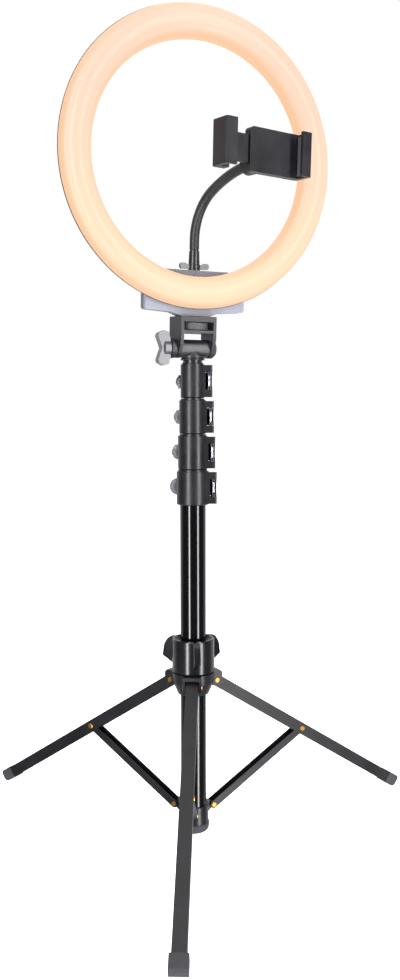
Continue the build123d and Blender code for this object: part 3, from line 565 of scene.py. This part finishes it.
class Finishes:
    """Every finish of the light, built once."""

    def __init__(self) -> None:
        """Build the materials."""
        # gloss black stove enamel on drawn steel tube: near-mirror black with a faint wave
        self.tube = Coating(
            "stove_enamel_tube", "#040406", "#08080a", 0.13, Grain.ORANGE_PEEL, 2.2, 0.06,
            coat=0.25, streaks=True,
        ).build()
        # glass-filled nylon, moulded in a spark-eroded tool: satin black with soft broad highlights
        self.collar = Coating(
            "moulded_nylon_collar", "#121115", "#19181c", 0.33, Grain.SPARK, 0.9, 0.12,
        ).build()
        self.lever = Coating(
            "moulded_nylon_lever", "#0f0e12", "#151418", 0.3, Grain.SPARK, 0.9, 0.12,
        ).build()
        # polished-tool ABS: deeper black and a tighter highlight than the nylon
        self.knob = Coating(
            "polished_abs_knob", "#0e0e12", "#141418", 0.2, Grain.SPARK, 1.4, 0.08, coat=0.2,
        ).build()
        self.hub = Coating(
            "moulded_nylon_hub", "#131217", "#1b1a1f", 0.3, Grain.SPARK, 0.9, 0.12,
        ).build()
        # zinc plate on turned pins: pale, slightly blue
        self.pin = Metal("zinc_plated_pin", "#c9c9d8", "#aeaebd", 0.32).build()
        # domed brass rivets, dulled
        self.brass = Metal("dull_brass_rivet", "#d9a95c", "#b98235", 0.34).build()
        # polyester powder coat on folded strip: matte black with a stipple
        self.leg = Coating(
            "powder_coat_leg", "#0b0a0e", "#121116", 0.4, Grain.POWDER, 0.9, 0.16,
        ).build()
        # compression-moulded rubber: dull and slightly blue-grey
        self.rubber = Coating(
            "moulded_rubber_foot", "#242328", "#2d2b31", 0.6, Grain.CALENDERED, 1.1, 0.2,
            sheen=0.15,
        ).build()
        self.pad = Coating(
            "moulded_rubber_pad", "#2c2b30", "#37363b", 0.7, Grain.CALENDERED, 0.8, 0.25, sheen=0.2,
        ).build()
        # natural acetal: pale grey and waxy
        self.bush = Coating(
            "acetal_bush", "#9a9a98", "#a6a6a4", 0.4, Grain.SPARK, 1.0, 0.08,
        ).build()
        # glass-filled nylon with a coarse mould texture: dark grey and quite dull
        self.bracket = Coating(
            "textured_nylon_bracket", "#18171c", "#201f25", 0.44, Grain.SPARK, 1.0, 0.22,
        ).build()
        self.barrel = Coating(
            "moulded_nylon_barrel", "#232226", "#2c2b30", 0.34, Grain.SPARK, 1.0, 0.14,
        ).build()
        # painted die casting: satin grey, bright on its flats
        self.tilt_knob = Coating(
            "satin_grey_casting", "#3c3c42", "#4a4a51", 0.3, Grain.ORANGE_PEEL, 1.6, 0.14,
            coat=0.25,
        ).build()
        self.wheel = Coating(
            "moulded_nylon_wheel", "#3a393e", "#4a494f", 0.5, Grain.SPARK, 0.8, 0.2,
        ).build()
        # ABS, fine satin texture
        self.shell = Coating(
            "satin_abs_shell", "#2a2a2e", "#333338", 0.42, Grain.SPARK, 0.9, 0.14,
        ).build()
        self.front = Coating(
            "satin_abs_front", "#71727e", "#797a86", 0.42, Grain.SPARK, 0.9, 0.10,
        ).build()
        # painted shade: the housing's back is the front's satin ABS painted darker for the shade it
        # sits in behind the ring
        self.back = Coating(
            "satin_abs_back_painted_shade", "#4b4b54", "#56565f", 0.46, Grain.SPARK, 0.9, 0.14,
        ).build()
        self.socket = Coating("black_nylon_socket", "#101012", "#161618", 0.4).build()
        self.black_metal = Coating(
            "black_enamel_fitting", "#151519", "#1f1f24", 0.3, Grain.ORANGE_PEEL, 1.4, 0.12,
            coat=0.2,
        ).build()
        # soft PVC sleeve over a sprung steel core: dull black
        self.sleeve = Coating(
            "pvc_arm_sleeve", "#141418", "#1d1d22", 0.46, Grain.CALENDERED, 1.0, 0.22, sheen=0.1,
        ).build()
        self.clamp = Coating(
            "satin_abs_clamp", "#0f0e13", "#17161b", 0.38, Grain.SPARK, 0.9, 0.16,
        ).build()
        # phosphated high-tensile steel: dark grey with a soft sheen
        self.screw = Metal("phosphated_steel_screw", "#5c5c61", "#4a4a4f", 0.42, 0.6).build()
        # painted shade: near-black for the inside of the screws' hex sockets, standing in for the
        # shade in the hole
        self.hex_socket_shade = Coating("painted_shade_hex_socket", "#060607", "#0a0a0b", 0.5).build()
        centre = LAYOUT.ring_centre()
        # opal acrylic over warm white diodes
        self.opal = LitOpal(
            "lit_opal_acrylic", tuple(centre), LAYOUT.head_lean, "#fddac1", "#fee6c1", "#f8c69c",
            LAYOUT.ring_inner, LAYOUT.ring_outer, 0.965,
        ).build()
        self.board = LitOpal(
            "lit_diode_board", tuple(centre), LAYOUT.head_lean, "#fff0dc", "#fff4e0", "#ffe9cf",
            LAYOUT.ring_inner, LAYOUT.ring_outer, 1.2,
        ).build()


def dress(node: str, material: bpy.types.Material) -> None:
    """Give a CAD node its finish.

    Args:
        node: the CAD node's name.
        material: its finish.
    """
    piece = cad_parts[node]
    if piece.material_slots:
        for entry in piece.material_slots:
            entry.material = material
    else:
        piece.data.materials.append(material)


# ---------------------------------------------------------------- column and locks
@dataclass
class Column:
    """Five telescopic tubes, their bushes, locks and head spigot."""

    sections: int = 5
    tube_diameters: tuple[float, ...] = (23.5 * MM, 20.9 * MM, 18.3 * MM, 15.7 * MM, 13.1 * MM)
    collar_wall: float = 2.9 * MM
    collar_base: float = 304.6 * MM
    collar_pitch: float = 32.0 * MM
    collar_body: float = 30.2 * MM
    lock_azimuth: float = -24.0
    pivot_offset: float = 4.2 * MM
    pin_radius: float = 1.5 * MM
    pin_inset: float = 1.6 * MM
    screw_extra: float = 2.1 * MM

    def build(self, finishes: Finishes) -> None:
        """Dress the tubes, bushes and spigot.

        Args:
            finishes: the light's materials.
        """
        dress("column_tube", finishes.tube)
        dress("column_end_cap", finishes.rubber)
        for number in range(2, self.sections + 1):
            dress(f"section_tube_{number}", finishes.tube)
            dress(f"section_bush_{number}", finishes.bush)
        dress("head_spigot", finishes.black_metal)
        for number in range(1, self.sections):
            dress(f"lock_collar_{number}", finishes.collar)
            dress(f"lock_hardware_{number}", finishes.pin)
            dress(f"lock_lever_{number}", finishes.lever)
            self.build_lock_fitting(number, finishes)
        LOG.info("column dressed")

    def build_lock_fitting(self, number: int, finishes: Finishes) -> None:
        """Model one lock's hinge pin and its domed tension screw with a hex socket.

        Args:
            number: the lock's number, 1 at the bottom.
            finishes: the light's materials.
        """
        tube = self.tube_diameters[number - 1]
        outer = tube / 2 + self.collar_wall
        base = self.collar_base + self.collar_pitch * (number - 1)
        turn = math.radians(self.lock_azimuth)
        side = Vector((math.cos(turn), math.sin(turn), 0.0))
        rear = Vector((-math.sin(turn), math.cos(turn), 0.0))
        middle = Vector((0.0, 0.0, base + self.collar_body / 2))
        pin = turned_piece(
            side * (outer + self.pivot_offset) + middle, Vector((0.0, 0.0, 1.0)),
            self.pin_radius, self.collar_body - 2 * self.pin_inset, 24, 0.3 * MM,
        )
        pin.data.materials.append(finishes.pin)
        radius = tube / 4 + self.screw_extra
        face = side * (-outer + 1.4 * MM) + rear * (outer + 3.2 * MM) + middle
        screw = turned_piece(face + rear * -0.9 * MM, -rear, radius, 1.8 * MM, 48, 0.25 * MM)
        crown(screw, -rear, [(0.82, 0.65 * MM), (0.66, 0.35 * MM), (0.5, 0.15 * MM)])
        screw.data.materials.append(finishes.screw)
        shank = turned_piece(face + rear * 2.4 * MM, rear, 1.6 * MM, 4.8 * MM, 20, 0.2 * MM)
        shank.data.materials.append(finishes.pin)
        socket = turned_piece(face + rear * -2.6 * MM, -rear, 2.5 * MM, 1.0 * MM, 6, 0.1 * MM)
        crown(socket, -rear, [(0.8, 0.0), (1.0, -0.7 * MM)])
        # the hex socket's sunk end is painted near-black as its shade
        socket.data.materials.append(finishes.hex_socket_shade)
        fitting = join([pin, screw, shank, socket], f"lock_fitting_{number}")
        smooth(fitting, 30.0)
        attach(fitting, "column" if number == 1 else f"section_{number}")
        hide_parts(f"lock_hardware_{number}")
        LOG.info("%s: %d faces", fitting.name, len(fitting.data.polygons))


@dataclass
class TripodBase:
    """Sliding hub with its knob, three folding legs and their braces."""

    legs: int = 3

    def build(self, finishes: Finishes) -> None:
        """Dress the base.

        Args:
            finishes: the light's materials.
        """
        dress("leg_hub", finishes.hub)
        dress("hub_rivets", finishes.brass)
        dress("hub_knob", finishes.knob)
        dress("brace_collar", finishes.hub)
        for number in range(1, self.legs + 1):
            dress(f"leg_{number}", finishes.leg)
            dress(f"foot_cap_{number}", finishes.rubber)
            dress(f"brace_{number}", finishes.leg)
            dress(f"brace_rivets_{number}", finishes.brass)
        LOG.info("tripod base dressed")


@dataclass
class Head:
    """Tilting bracket, ring and housing."""

    def build(self, finishes: Finishes) -> None:
        """Dress the head, with the opal ring lit.

        Args:
            finishes: the light's materials.
        """
        dress("tilt_barrel", finishes.barrel)
        dress("tilt_bracket", finishes.bracket)
        dress("tilt_knob", finishes.tilt_knob)
        dress("thumbwheel", finishes.wheel)
        dress("ring_shell", finishes.shell)
        dress("led_board", finishes.board)
        dress("housing_front", finishes.front)
        dress("housing_back", finishes.back)
        dress("power_socket", finishes.socket)
        dress("diffuser", finishes.opal)
        LOG.info("head dressed")


@dataclass
class PhoneArm:
    """Flexible arm and the sprung phone clamp on its ball."""

    links: int = 3
    sleeve_radius: float = 4.3 * MM
    neck_radius: float = 2.6 * MM
    ball_radius: float = 5.0 * MM
    bend_reach: float = 9.0 * MM

    def build(self, finishes: Finishes) -> None:
        """Dress the arm and clamp.

        Args:
            finishes: the light's materials.
        """
        for node in ("neck_base", "neck_sleeve", "neck_wing_nut"):
            dress(node, finishes.black_metal)
        for number in range(1, self.links + 1):
            dress(f"gooseneck_{number}", finishes.sleeve)
        dress("ball_nut", finishes.clamp)
        dress("clamp_body", finishes.clamp)
        dress("clamp_jaw", finishes.clamp)
        dress("jaw_pad_fixed", finishes.pad)
        dress("jaw_pad_moving", finishes.pad)
        self.build_sleeves(finishes)
        LOG.info("phone arm dressed")

    def build_sleeves(self, finishes: Finishes) -> None:
        """Model the arm's smooth sleeve in three lengths along the arm's centre line.

        Args:
            finishes: the light's materials.
        """
        whole = LAYOUT.arm_length()
        step = (whole - LAYOUT.arm_socket) / self.links
        for number in range(1, self.links + 1):
            joint = LAYOUT.arm_socket + (number - 1) * step
            low = joint + 1.2 * MM if number == 1 else joint - step / 2
            high = joint + step / 2 if number < self.links else whole - 8.4 * MM
            count = 26
            spots = [low + (high - low) * place / (count - 1) for place in range(count)]
            radii = [self.sleeve_radius] * count
            if number == self.links:
                spots += [high + 0.3 * MM, high + 0.7 * MM, whole - 1.0 * MM]
                radii += [self.sleeve_radius - 0.8 * MM, self.neck_radius, self.neck_radius]
            name = f"arm_sleeve_{number}"
            parts = [sleeve_along([LAYOUT.arm_point(spot) for spot in spots], radii, name)]
            if number == self.links:
                parts.append(self.ball())
            sleeve = join(parts, name)
            finish_piece(
                sleeve, name, None, finishes.sleeve, (f"gooseneck_{number}",),
            )
            start = LAYOUT.arm_point(joint - self.bend_reach)
            end = LAYOUT.arm_point(joint + self.bend_reach)
            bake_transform(sleeve)

    def ball(self) -> bpy.types.Object:
        """Turn the ball on the arm's tip, which the neck enters."""
        deselect()
        centre = LAYOUT.arm_point(LAYOUT.arm_length())
        bpy.ops.mesh.primitive_uv_sphere_add(
            segments=36, ring_count=20, radius=self.ball_radius, location=centre,
        )
        made = settle(bpy.context.object)
        smooth(made, 60.0)
        return made


# ---------------------------------------------------------------- studio
@dataclass
class Studio:
    """Pale floor, soft lights, world and camera."""

    view_azimuth: float = 23.77
    distance: float = 845.2 * MM
    height: float = 387.6 * MM
    pan: float = 0.439
    pitch: float = 4.73
    roll: float = -0.102
    lens: float = 34.354

    def build(self) -> None:
        """Set up the whole studio."""
        self.add_camera()
        self.add_world()
        self.add_floor()
        self.add_lights()

    def toward_camera(self, turn: float) -> Vector:
        """Level direction from the column, turned from the camera's, positive to its right.

        Args:
            turn: degrees.

        Returns:
            A unit vector.
        """
        angle = math.radians(-90.0 - self.view_azimuth + turn)
        return Vector((math.cos(angle), math.sin(angle), 0.0))

    def add_camera(self) -> None:
        """Place the camera as the fitted view has it."""
        data = bpy.data.cameras.new("studio_camera")
        data.sensor_width = 36.0
        data.lens = self.lens
        data.clip_start = 0.02
        data.clip_end = 60.0
        camera = bpy.data.objects.new("studio_camera", data)
        bpy.context.scene.collection.objects.link(camera)
        turn = Matrix.Rotation(math.radians(-self.view_azimuth - self.pan), 4, "Z")
        nod = Matrix.Rotation(math.radians(90.0 - self.pitch), 4, "X")
        roll = Matrix.Rotation(math.radians(self.roll), 4, "Z")
        spot = self.toward_camera(0.0) * self.distance + Vector((0.0, 0.0, self.height))
        camera.matrix_world = Matrix.Translation(spot) @ turn @ nod @ roll
        bpy.context.scene.camera = camera

    def add_world(self) -> None:
        """White all round for the eye; for reflections, bright behind and dim in front."""
        world = bpy.data.worlds.new("studio_world")
        bpy.context.scene.world = world
        world.use_nodes = True
        tree = world.node_tree
        tree.nodes.clear()
        output = add_node(tree, "ShaderNodeOutputWorld")
        where = add_node(tree, "ShaderNodeTexCoord").outputs["Generated"]
        away = -self.toward_camera(0.0)
        facing = add_node(
            tree, "ShaderNodeVectorMath", {1: tuple(away)}, {0: where}, operation="DOT_PRODUCT",
        )
        shade = add_node(
            tree, "ShaderNodeMapRange",
            {"From Min": 0.0, "From Max": 0.8, "To Min": 0.05, "To Max": 0.8},
            {"Value": facing.outputs["Value"]}, interpolation_type="SMOOTHSTEP",
        )
        white = (1.0, 1.0, 1.0, 1.0)
        lit = add_node(
            tree, "ShaderNodeBackground", {"Color": white}, {"Strength": shade.outputs["Result"]},
        )
        seen = add_node(tree, "ShaderNodeBackground", {"Color": white, "Strength": 1.0})
        path = add_node(tree, "ShaderNodeLightPath")
        mixed = add_node(
            tree, "ShaderNodeMixShader", None,
            {0: path.outputs["Is Camera Ray"], 1: lit.outputs["Background"],
             2: seen.outputs["Background"]},
        )
        tree.links.new(mixed.outputs["Shader"], output.inputs["Surface"])

    def add_floor(self) -> None:
        """Lay the pale floor, lit from within so that it stays white up to the horizon."""
        deselect()
        bpy.ops.mesh.primitive_plane_add(size=24.0, location=(0.0, 0.0, -0.0004))
        floor = bpy.context.object
        floor.name = "studio_floor"
        material, tree, output = new_surface("painted_studio_floor")
        surface = add_node(
            tree, "ShaderNodeBsdfPrincipled",
            {"Base Color": (0.92, 0.92, 0.92, 1.0), "Roughness": 0.8, "Specular IOR Level": 0.0,
             "Emission Color": (1.0, 1.0, 1.0, 1.0), "Emission Strength": 0.98},
        )
        tree.links.new(surface.outputs["BSDF"], output.inputs["Surface"])
        floor.data.materials.append(material)
        floor.visible_glossy = False
        floor.visible_shadow = False

    def add_area(
        self,
        name: str,
        spot: Vector,
        target: Vector,
        size: tuple[float, float],
        radiance: float,
        spread: float = 1.0,
        shine: float = 1.0,
    ) -> None:
        """Add one rectangular soft light.

        Args:
            name: the light's name.
            spot: its centre.
            target: the point it faces.
            size: width and height in metres.
            radiance: brightness of its face, as a mirror shows it.
            spread: how much of it reaches matt surfaces.
            shine: how much of it shows in glossy surfaces.
        """
        data = bpy.data.lights.new(name, "AREA")
        data.shape = "RECTANGLE"
        data.size, data.size_y = size
        data.energy = radiance * math.pi * size[0] * size[1]
        light = bpy.data.objects.new(name, data)
        bpy.context.scene.collection.objects.link(light)
        aim = (target - spot).to_track_quat("-Z", "Y").to_matrix().to_4x4()
        light.matrix_world = Matrix.Translation(spot) @ aim
        light.visible_camera = False
        data.diffuse_factor = spread
        data.specular_factor = shine

    def add_lights(self) -> None:
        """Two tall softboxes for the column's highlights, and a large one overhead."""
        middle = Vector((0.0, 0.0, 0.36))
        left = self.toward_camera(-32.0) * 1.7 + middle
        right = self.toward_camera(46.0) * 1.7 + middle
        self.add_area("softbox_left", left, middle, (0.34, 4.4), 15.0, 0.22)
        self.add_area("softbox_right", right, middle, (0.40, 4.4), 12.0, 0.22)
        above = Vector((0.0, 0.0, 3.2))
        self.add_area("softbox_top", above, Vector((0.0, 0.0, 0.0)), (4.0, 4.0), 1.3, 1.0, 0.25)


def set_colour_management() -> None:
    """Show colours as they are, with white clipped plainly."""
    settings = bpy.context.scene.view_settings
    settings.view_transform = "Standard"
    settings.look = "None"
    settings.exposure = 0.0
    settings.gamma = 1.0


def main() -> None:
    """Build every sub-assembly, then the studio."""
    logging.basicConfig(level=logging.INFO, format="%(message)s")
    finishes = Finishes()
    Column().build(finishes)
    TripodBase().build(finishes)
    Head().build(finishes)
    PhoneArm().build(finishes)
    Studio().build()
    set_colour_management()


if __name__ == "__main__":
    main()
